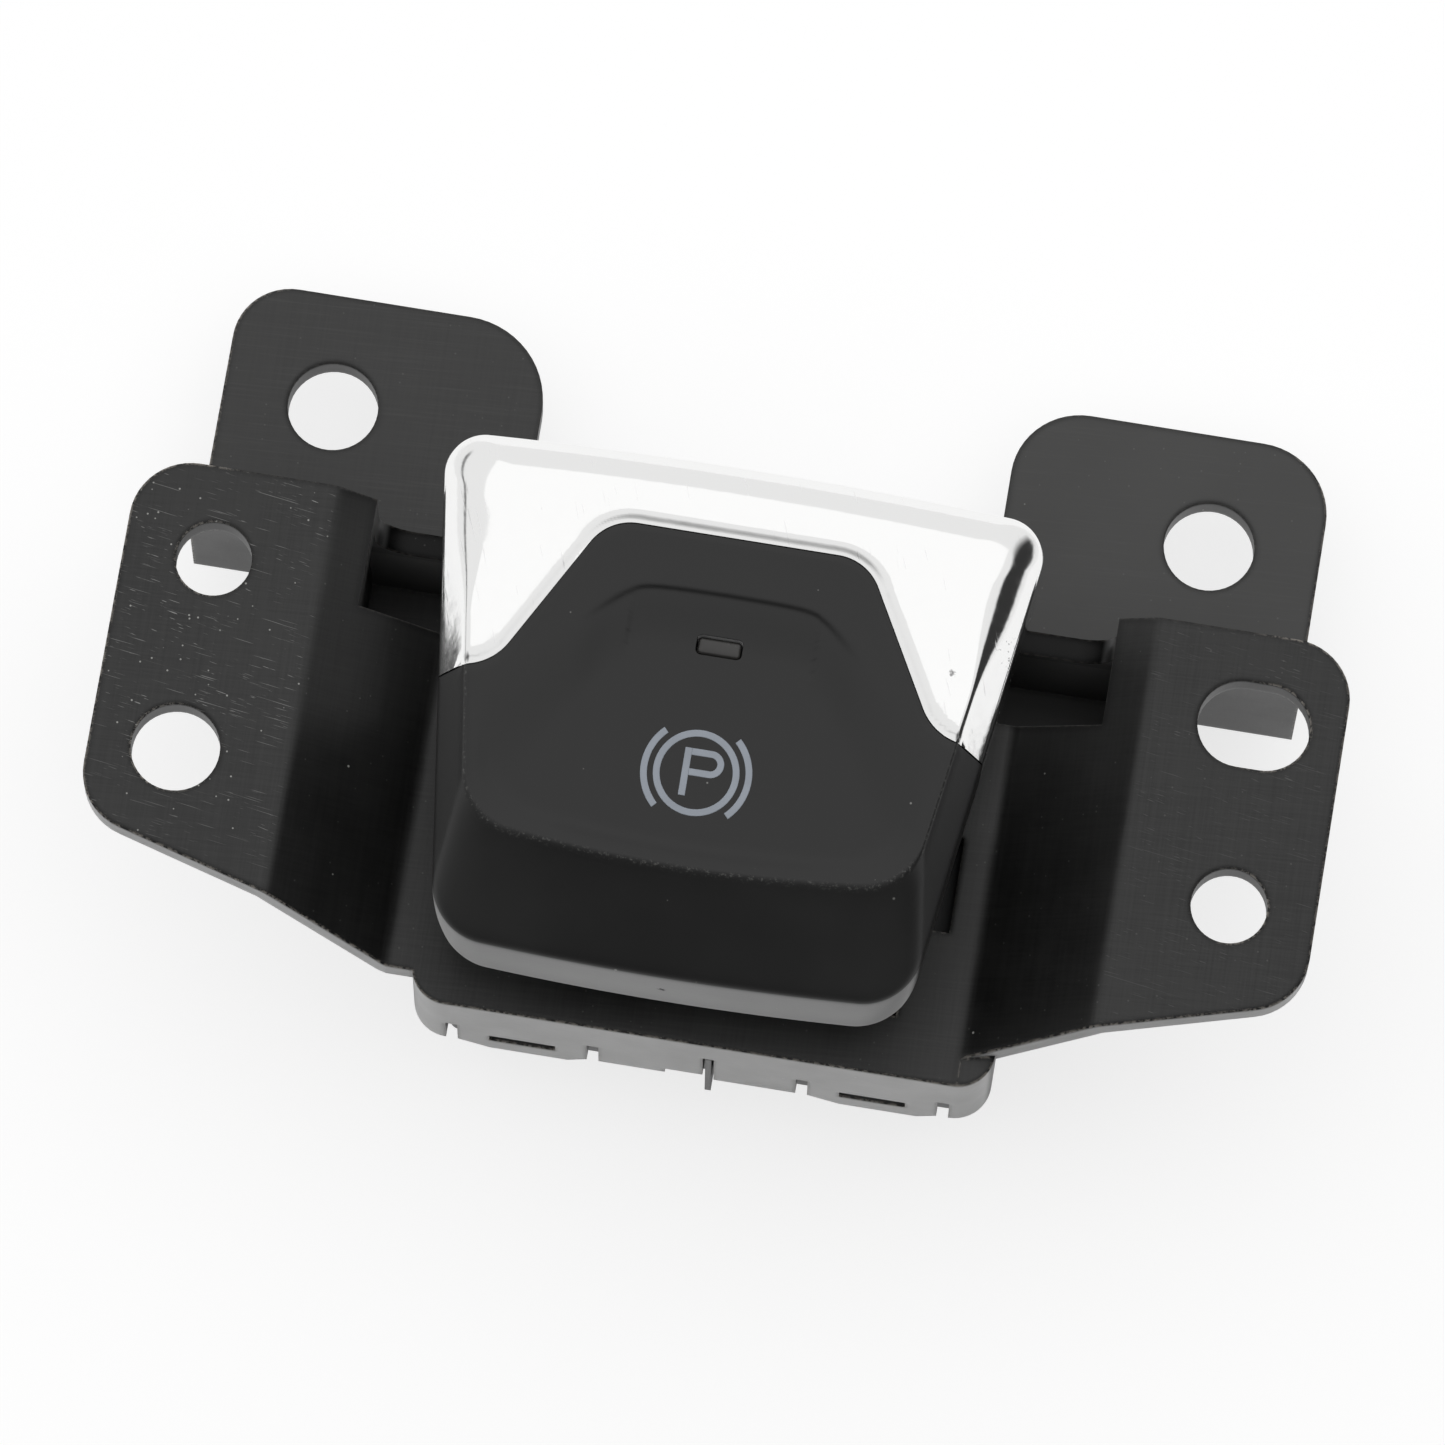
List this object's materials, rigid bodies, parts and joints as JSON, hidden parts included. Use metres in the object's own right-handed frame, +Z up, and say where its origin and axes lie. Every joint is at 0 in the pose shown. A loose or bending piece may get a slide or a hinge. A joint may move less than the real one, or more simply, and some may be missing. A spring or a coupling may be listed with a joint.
{
  "type": "parking brake switch",
  "caption": "Console switch: rocking knob with plated trim and dished pad over a sunken deck, on a folded bracket with slotted screw wings and rear tabs.",
  "frame": {"origin": "middle of the part's bounding box in plan, at the underside of the base cover", "axes": "+X to the right along the wings, +Y to the rear where the two low tabs are, +Z up through the knob"},
  "size_m": [0.0984, 0.0606, 0.0443],
  "materials": {
    "bracket_plastic": "fine-grained black moulding",
    "housing_plastic": "plain black moulding",
    "carrier_plastic": "plain black moulding",
    "pad_plastic": "soft satin black",
    "plated_trim": "satin plated",
    "steel": "plain",
    "tinned_pin": "tinned",
    "board": "coated laminate",
    "switch_case": "plain",
    "pale_plastic": "plain",
    "lamp": "clear resin",
    "chip": "moulded",
    "clear": "polished",
    "lens": "smoked"
  },
  "bodies": {
    "module": {"bracket": "bracket_plastic", "switch_housing": "housing_plastic", "base_cover": "housing_plastic", "cover_screws": "steel", "circuit_board": "board", "terminal_pins": "tinned_pin", "push_switch": "switch_case", "pull_switch": "switch_case", "indicator_led": "lamp", "backlight_leds": "lamp", "control_chip": "chip", "chip_resistors": "chip", "light_guide": "clear", "hinge_pins": "steel", "front_spring": "steel", "rear_spring": "steel"},
    "knob": {"knob_carrier": "carrier_plastic", "chrome_trim": "plated_trim", "knob_pad": "pad_plastic", "indicator_lens": "lens", "symbol_diffuser": "pale_plastic"},
    "front_plunger_body": {"front_plunger": "carrier_plastic", "push_switch_stem": "pale_plastic"},
    "rear_plunger_body": {"rear_plunger": "carrier_plastic", "pull_switch_stem": "pale_plastic"}
  },
  "joints": [
    {"name": "knob_rock", "type": "hinge", "parent": "module", "child": "knob", "pos_m": [0, -0.0114, 0.0234], "axis": [-1, 0, 0], "range_deg": [-6, 6], "stiffness_Nm_per_rad": 0.5},
    {"name": "front_plunger_slide", "type": "slide", "parent": "module", "child": "front_plunger_body", "axis": [0, 0, 1], "range_m": [-0.0011, 0.0011], "deforming": ["front_spring"]},
    {"name": "rear_plunger_slide", "type": "slide", "parent": "module", "child": "rear_plunger_body", "axis": [0, 0, 1], "range_m": [-0.0005, 0.0005], "deforming": ["rear_spring"]}
  ],
  "couplings": [
    {"joint": "front_plunger_slide", "follows": "knob_rock", "m_per_rad": 0.01},
    {"joint": "rear_plunger_slide", "follows": "knob_rock", "m_per_rad": -0.004}
  ]
}
